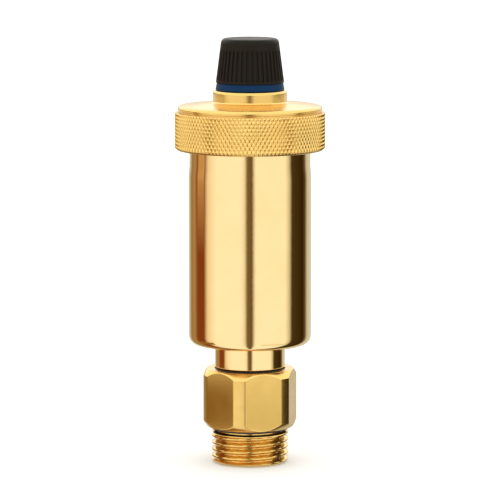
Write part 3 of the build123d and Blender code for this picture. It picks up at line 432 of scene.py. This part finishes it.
def make_turning():
    """Fine rings left by a lathe tool: noise squeezed along the height and stretched round the piece."""
    tree, start, end = group(
        "turning_marks", {"Ring Pitch mm": 0.25, "Drift": 0.06}, {"Rings": "NodeSocketFloat"}
    )
    place = add(tree, "ShaderNodeTexCoord").outputs["Object"]
    parts = add(tree, "ShaderNodeSeparateXYZ", {0: place})
    squares = [
        add(tree, "ShaderNodeMath", {0: parts.outputs[axis], 1: parts.outputs[axis]}, operation="MULTIPLY")
        for axis in ("X", "Y")
    ]
    total = add(tree, "ShaderNodeMath", {0: squares[0].outputs[0], 1: squares[1].outputs[0]}, operation="ADD")
    radius = add(tree, "ShaderNodeMath", {0: total.outputs[0]}, operation="SQRT")
    slow = add(tree, "ShaderNodeMath", {0: parts.outputs["X"], 1: start.outputs["Drift"]}, operation="MULTIPLY")
    slow_y = add(tree, "ShaderNodeMath", {0: parts.outputs["Y"], 1: start.outputs["Drift"]}, operation="MULTIPLY")
    along = add(tree, "ShaderNodeMath", {0: parts.outputs["Z"], 1: radius.outputs[0]}, operation="SUBTRACT")
    place_in = add(
        tree, "ShaderNodeCombineXYZ", {"X": slow.outputs[0], "Y": slow_y.outputs[0], "Z": along.outputs[0]}
    )
    scale = add(tree, "ShaderNodeMath", {0: 1000.0, 1: start.outputs["Ring Pitch mm"]}, operation="DIVIDE")
    rings = add(
        tree, "ShaderNodeTexNoise",
        {"Vector": place_in.outputs[0], "Scale": scale.outputs[0], "Detail": 2.0, "Roughness": 0.5},
    )
    tree.links.new(rings.outputs["Fac"], end.inputs["Rings"])
    return tree


mottle, turning_marks = make_mottle(), make_turning()
MIX_FIRST, MIX_SECOND, MIX_RESULT = 6, 7, 2  # places of the colour sockets on a Mix node


def use(tree, which, **values):
    """Places a shader group in a material with its own values."""
    node = tree.nodes.new("ShaderNodeGroup")
    node.node_tree = which
    for label, value in values.items():
        node.inputs[label.replace("_", " ")].default_value = value
    return node


# ------------------------------------------------------------------ materials
def finish(
    name, tones, roughness, metallic=0.0, patch=6.0, contrast=1.6, grain=0.3, grain_depth=0.0,
    rings=None, ring_depth=0.0, **plain,
):
    """One finish: two tones and two roughnesses mixed by the mottle mask, with grain and lathe rings as bump."""
    material = bpy.data.materials.new(name)
    material.use_nodes = True
    tree = material.node_tree
    shader = tree.nodes["Principled BSDF"]
    shader.inputs["Metallic"].default_value = metallic
    for label, value in plain.items():
        shader.inputs[label.replace("_", " ")].default_value = value
    clouds = use(tree, mottle, Patch_Size_mm=patch, Grain_Size_mm=grain, Contrast=contrast)
    tone = add(tree, "ShaderNodeMix", {"Factor": clouds.outputs["Mask"]}, data_type="RGBA")
    tone.inputs[MIX_FIRST].default_value = (*tones[0], 1)
    tone.inputs[MIX_SECOND].default_value = (*tones[1], 1)
    tree.links.new(tone.outputs[MIX_RESULT], shader.inputs["Base Color"])
    gloss = add(
        tree, "ShaderNodeMapRange",
        {"Value": clouds.outputs["Mask"], "To Min": roughness[0], "To Max": roughness[1]},
    )
    tree.links.new(gloss.outputs["Result"], shader.inputs["Roughness"])
    normal = None
    if grain_depth:
        normal = add(
            tree, "ShaderNodeBump",
            {"Height": clouds.outputs["Grain"], "Distance": grain_depth * MM, "Strength": 1.0},
        )
    if rings:
        marks = use(tree, turning_marks, Ring_Pitch_mm=rings)
        links = {"Height": marks.outputs["Rings"], "Distance": ring_depth * MM, "Strength": 1.0}
        if normal:
            links["Normal"] = normal.outputs["Normal"]
        normal = add(tree, "ShaderNodeBump", links)
    if normal:
        tree.links.new(normal.outputs["Normal"], shader.inputs["Normal"])
    return material


FINISHES = {
    "polished_brass": finish(
        "polished_brass", ((0.91, 0.67, 0.35), (0.88, 0.62, 0.30)), (0.05, 0.09), metallic=1.0,
        patch=9.0, grain=1.4, grain_depth=0.006,
    ),
    "turned_brass": finish(
        "turned_brass", ((0.78, 0.52, 0.17), (0.70, 0.44, 0.13)), (0.16, 0.27), metallic=1.0,
        patch=4.0, grain=0.5, grain_depth=0.004, rings=0.16, ring_depth=0.008,
    ),
    "inner_brass": finish(
        "inner_brass", ((0.80, 0.56, 0.24), (0.66, 0.44, 0.18)), (0.28, 0.42), metallic=1.0,
        patch=3.0, grain=0.4, grain_depth=0.006, rings=0.2, ring_depth=0.01,
    ),
    "stainless_steel": finish(
        "stainless_steel", ((0.62, 0.61, 0.59), (0.50, 0.50, 0.49)), (0.22, 0.36), metallic=1.0,
        patch=2.5, grain=0.2, grain_depth=0.003,
    ),
    "black_rubber": finish(
        "black_rubber", ((0.012, 0.012, 0.013), (0.024, 0.023, 0.022)), (0.55, 0.75),
        patch=2.0, grain=0.12, grain_depth=0.01,
    ),
    "fibre_gasket": finish(
        "fibre_gasket", ((0.22, 0.06, 0.03), (0.34, 0.12, 0.07)), (0.7, 0.85),
        patch=0.8, grain=0.15, grain_depth=0.02,
    ),
    "moulded_plastic": finish(
        "moulded_plastic", ((0.62, 0.60, 0.54), (0.54, 0.52, 0.46)), (0.35, 0.5),
        patch=5.0, grain=0.2, grain_depth=0.006,
    ),
    "float_plastic": finish(
        "float_plastic", ((0.74, 0.73, 0.67), (0.66, 0.64, 0.56)), (0.32, 0.45),
        patch=7.0, grain=0.25, grain_depth=0.006,
    ),
    "blue_plastic": finish(
        "blue_plastic", ((0.0015, 0.027, 0.085), (0.0015, 0.021, 0.065)), (0.3, 0.42),
        patch=3.0, grain=0.15, grain_depth=0.004, Specular_IOR_Level=0.08,
    ),
    "black_plastic": finish(
        "black_plastic", ((0.0085, 0.0055, 0.003), (0.012, 0.008, 0.0045)), (0.34, 0.5),
        patch=3.0, grain=0.12, grain_depth=0.006, Specular_IOR_Level=0.1,
    ),
}

PIECES = {
    "polished_brass": [make_bottle()],
    "turned_brass": [make_cover(), make_valve_body()],
    "blue_plastic": [make_cap_ring()],
    "black_plastic": [make_cap()],
    "stainless_steel": [make_pin_spring()],
}
for label, made in PIECES.items():
    for piece in made:
        piece.data.materials.append(FINISHES[label])

SLOT_OF = {part["node"]: part["material_slot"] for part in frame["record"]["subparts"]}
for node, obj in frame["nodes"].items():
    for holder in obj.material_slots:
        holder.material = FINISHES[SLOT_OF[node]]


# ------------------------------------------------------------------ studio
TOP_LIGHT, BACKDROP = (1.6, 1.6, 1.55), (0.97, 0.97, 0.97)
TOP_LIGHT_FROM, TOP_LIGHT_FULL = 0.09, 0.2  # the sines of the heights where the panels give way to it
FLOOR_GAP = 0.05  # below the port's end, in millimetres
CARD_DISTANCE = 60.0  # from the axis, in millimetres


def make_floor():
    """Round pale floor at the foot of the port thread, seen directly but not mirrored in the metal."""
    angle = even_angles(96)
    distance = np.array([0.0, 0.05, 0.2, 0.8, 3.0, 9.0])[:, None]
    xyz = np.stack([distance * np.cos(angle), distance * np.sin(angle), 0 * distance * angle], axis=-1)
    xyz[..., 2] = (PORT_END_Z - FLOOR_GAP) * MM
    rows, columns = xyz.shape[:2]
    row, column = np.meshgrid(np.arange(rows - 1), np.arange(columns), indexing="ij")
    on = (column + 1) % columns
    faces = np.stack(
        [row * columns + column, (row + 1) * columns + column, (row + 1) * columns + on, row * columns + on],
        axis=-1,
    ).reshape(-1, 4)
    mesh = bpy.data.meshes.new("floor")
    mesh.from_pydata(xyz.reshape(-1, 3).tolist(), [], faces.tolist())
    mesh.materials.append(finish("floor_paper", ((0.80, 0.80, 0.80), (0.79, 0.79, 0.79)), (0.8, 0.85), patch=60.0))
    floor = bpy.data.objects.new("floor", mesh)
    bpy.context.collection.objects.link(floor)
    floor.visible_glossy = False


# the tent's colour by compass angle: straight behind on the left (-180), in front (0), behind on the right (180)
TENT = [
    (-180, (0.80, 0.78, 0.72)), (-160, (0.72, 0.72, 0.64)), (-142, (0.34, 0.24, 0.10)),
    (-128, (0.48, 0.31, 0.16)), (-116, (0.24, 0.07, 0.015)), (-96, (0.25, 0.06, 0.012)),
    (-86, (0.98, 0.92, 0.75)), (-66, (1.24, 1.25, 1.22)), (-17, (1.24, 1.25, 1.22)), (-10, (1.00, 1.00, 0.95)),
    (-5, (0.22, 0.17, 0.08)), (4, (0.16, 0.11, 0.04)), (9, (0.95, 0.97, 0.90)), (12, (1.22, 1.24, 1.20)),
    (70, (1.22, 1.24, 1.20)), (80, (0.70, 0.72, 0.60)), (86, (0.07, 0.05, 0.015)), (118, (0.04, 0.02, 0.004)),
    (127, (0.12, 0.09, 0.04)), (138, (0.68, 0.72, 0.68)), (180, (0.80, 0.78, 0.72)),
]


def make_tent():
    """World light: upright bright and dark panels by compass angle, a soft top light, plain white to the lens."""
    world = bpy.data.worlds.new("tent")
    bpy.context.scene.world = world
    world.use_nodes = True
    tree = world.node_tree
    tree.nodes.clear()
    way = add(tree, "ShaderNodeTexCoord").outputs["Generated"]
    parts = add(tree, "ShaderNodeSeparateXYZ", {0: way})
    front = add(tree, "ShaderNodeMath", {0: parts.outputs["Y"], 1: -1.0}, operation="MULTIPLY")
    compass = add(
        tree, "ShaderNodeMath", {0: parts.outputs["X"], 1: front.outputs[0]}, operation="ARCTAN2"
    )
    share = add(
        tree, "ShaderNodeMapRange", {"Value": compass.outputs[0], "From Min": -np.pi, "From Max": np.pi}
    )
    ramp = add(tree, "ShaderNodeValToRGB", {0: share.outputs["Result"]})
    stops = ramp.color_ramp.elements
    while len(stops) > 1:
        stops.remove(stops[-1])
    stops[0].position, stops[0].color = 0.0, (*TENT[0][1], 1)
    for degrees, colour in TENT[1:]:
        stops.new((degrees + 180) / 360).color = (*colour, 1)
    above = add(
        tree, "ShaderNodeMapRange",
        {"Value": parts.outputs["Z"], "From Min": TOP_LIGHT_FROM, "From Max": TOP_LIGHT_FULL},
    )
    dome = add(tree, "ShaderNodeMix", {"Factor": above.outputs["Result"]}, data_type="RGBA")
    tree.links.new(ramp.outputs["Color"], dome.inputs[MIX_FIRST])
    dome.inputs[MIX_SECOND].default_value = (*TOP_LIGHT, 1)
    tent = add(tree, "ShaderNodeBackground", {"Color": dome.outputs[MIX_RESULT], "Strength": 1.0})
    plain = add(tree, "ShaderNodeBackground", {"Color": (*BACKDROP, 1), "Strength": 1.0})
    seen = add(tree, "ShaderNodeLightPath").outputs["Is Camera Ray"]
    either = add(tree, "ShaderNodeMixShader", {0: seen, 1: tent.outputs[0], 2: plain.outputs[0]})
    out = tree.nodes.new("ShaderNodeOutputWorld")
    tree.links.new(either.outputs[0], out.inputs["Surface"])


def make_card(name, start_deg, end_deg, low, high, colour, clear=None, solid=None):
    """Upright curved card between two compass angles, seen only in the metal.

    Its alpha is its share of the way from the clear height to the solid height, if it has them.
    """
    compass = np.radians(np.linspace(start_deg, end_deg, 24))
    ring = np.stack([np.sin(compass), -np.cos(compass), 0 * compass], axis=-1) * CARD_DISTANCE * MM
    xyz = np.concatenate([ring + (0, 0, low * MM), ring + (0, 0, high * MM)])
    n = len(compass)
    column = np.arange(n - 1)
    faces = np.stack([column, column + 1, n + column + 1, n + column], axis=-1)
    mesh = bpy.data.meshes.new(name)
    mesh.from_pydata(xyz.tolist(), [], faces.tolist())
    material = bpy.data.materials.new(name)
    material.use_nodes = True
    shader = material.node_tree.nodes["Principled BSDF"]
    shader.inputs["Base Color"].default_value = (0, 0, 0, 1)
    shader.inputs["Specular IOR Level"].default_value = 0.0
    shader.inputs["Emission Color"].default_value = (*colour, 1)
    shader.inputs["Emission Strength"].default_value = 1.0
    if clear is not None:
        tree = material.node_tree
        place = add(tree, "ShaderNodeTexCoord").outputs["Object"]
        parts = add(tree, "ShaderNodeSeparateXYZ", {0: place})
        share = add(
            tree, "ShaderNodeMapRange",
            {"Value": parts.outputs["Z"], "From Min": clear * MM, "From Max": solid * MM},
        )
        tree.links.new(share.outputs["Result"], shader.inputs["Alpha"])
    mesh.materials.append(material)
    card = bpy.data.objects.new(name, mesh)
    bpy.context.collection.objects.link(card)
    card.visible_camera = card.visible_diffuse = card.visible_shadow = False


def make_camera():
    """Long lens about a metre in front and a little above, aimed at the middle of the vent."""
    place = Vector((6.9, -959.9, 172.7)) * MM
    aim = Vector((0.0, 0.0, 48.5)) * MM
    lens = bpy.data.cameras.new("camera")
    lens.lens = 255.0
    lens.clip_start, lens.clip_end = 0.05, 50.0
    camera = bpy.data.objects.new("camera", lens)
    bpy.context.collection.objects.link(camera)
    camera.location = place
    camera.rotation_euler = (aim - place).to_track_quat("-Z", "Y").to_euler()
    bpy.context.scene.camera = camera


make_floor()
make_tent()
make_card("brown_card", -108, -66, PORT_END_Z, 9, (0.30, 0.175, 0.042), clear=9, solid=4)
make_card("warm_card", 20, 62, PORT_END_Z, 9, (0.82, 0.81, 0.62), clear=9, solid=PORT_END_Z)
make_card("fading_card", -102.5, -84, 42, 80.4, (0.80, 0.54, 0.265), clear=42, solid=80.4)
make_card("collar_card_left", -150, -86, 80.5, 87.5, (1.05, 1.0, 0.85))
make_card("collar_card_right", 76, 150, 80.5, 87.5, (1.05, 1.0, 0.85))
make_camera()
bpy.context.scene.view_settings.view_transform = "Standard"
